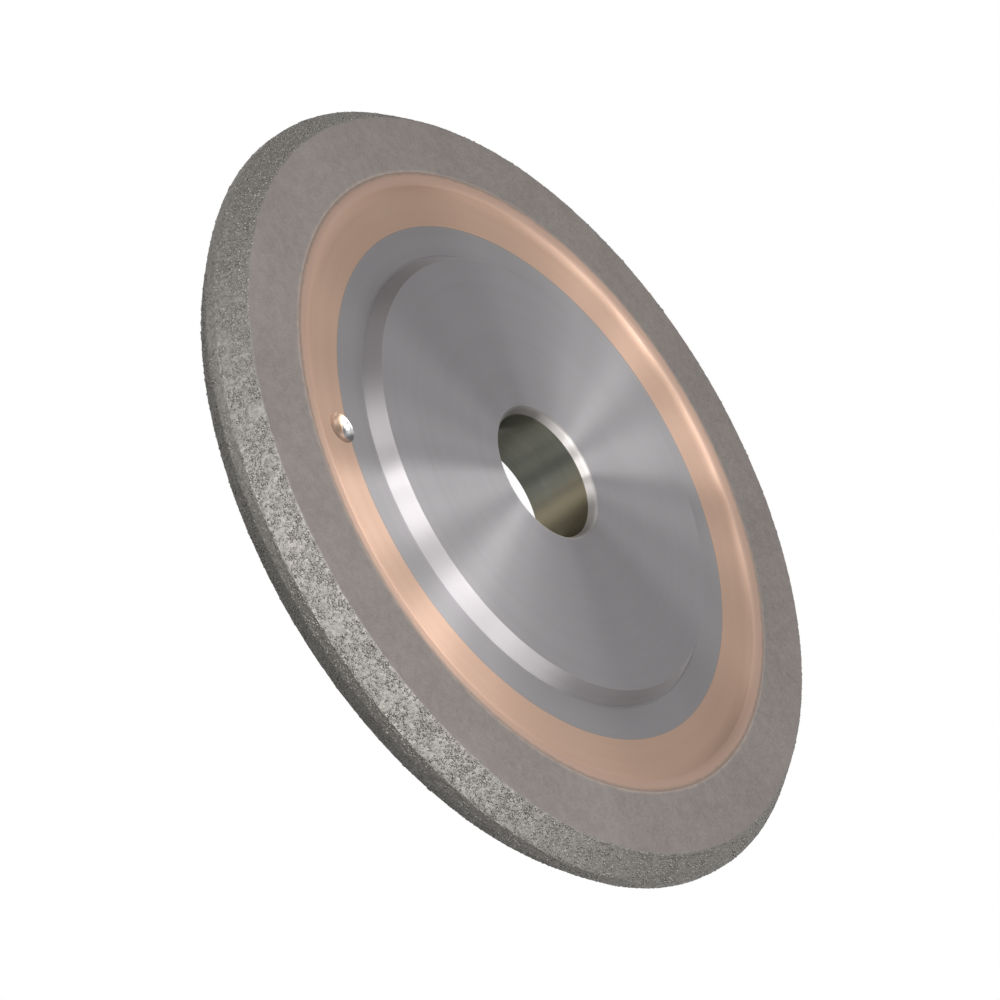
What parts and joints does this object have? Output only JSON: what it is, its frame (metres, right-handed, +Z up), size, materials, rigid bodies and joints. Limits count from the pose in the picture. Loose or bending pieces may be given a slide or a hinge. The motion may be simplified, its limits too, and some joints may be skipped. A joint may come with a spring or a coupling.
{
  "type": "diamond grinding wheel",
  "caption": "Flat grinding wheel with a plain bore, raised hub seats on both faces, a copper ring and a double-bevelled diamond rim.",
  "frame": {"origin": "middle of the bore: on the wheel's axis, half way through the hub", "axes": "+Y along the wheel's axis, towards its back face; -Y is the face with the balance dimple; +Z up and +X right when looking at that face"},
  "size_m": [0.125, 0.0126, 0.125],
  "materials": {
    "turned_steel": "face-turned, fine concentric lathe marks",
    "braze": "thin braze line, turned flush",
    "copper": "turned sintered copper, satin",
    "diamond_bond": "dressed metal bond with exposed diamond grit, matte and granular"
  },
  "bodies": {
    "root": {"steel_core": "turned_steel", "core_braze": "braze", "copper_ring": "copper", "rim_braze": "braze", "diamond_rim": "diamond_bond"}
  },
  "joints": []
}
